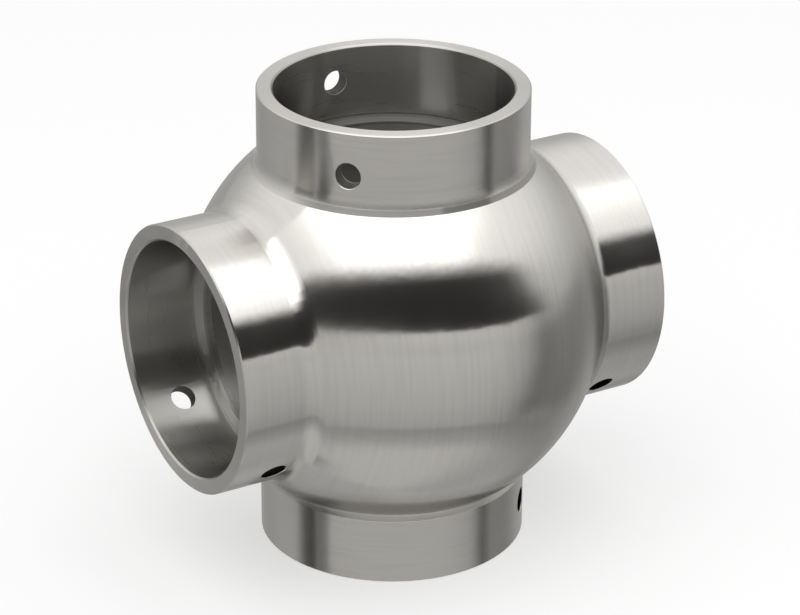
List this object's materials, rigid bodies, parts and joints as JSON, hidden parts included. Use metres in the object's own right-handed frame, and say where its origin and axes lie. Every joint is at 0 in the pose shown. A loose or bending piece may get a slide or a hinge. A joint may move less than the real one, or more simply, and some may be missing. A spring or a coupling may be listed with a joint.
{
  "type": "ball cross tube fitting",
  "caption": "Hollow cast steel ball with turned collars in a cross, whose sockets join round tubes at right angles in one plane.",
  "frame": {"origin": "centre of the ball, where the axes of all the sockets meet", "axes": "+Z along the upper socket, away from the ball; +X along the right-hand socket; Y square to the plane of the collars"},
  "size_m": [0.103, 0.0916, 0.103],
  "materials": {
    "stainless_steel": "satin brushed stainless steel, brushed round the collars and in upright planes on the ball"
  },
  "bodies": {
    "root": {"ball_cross_body": "stainless_steel"}
  },
  "joints": []
}
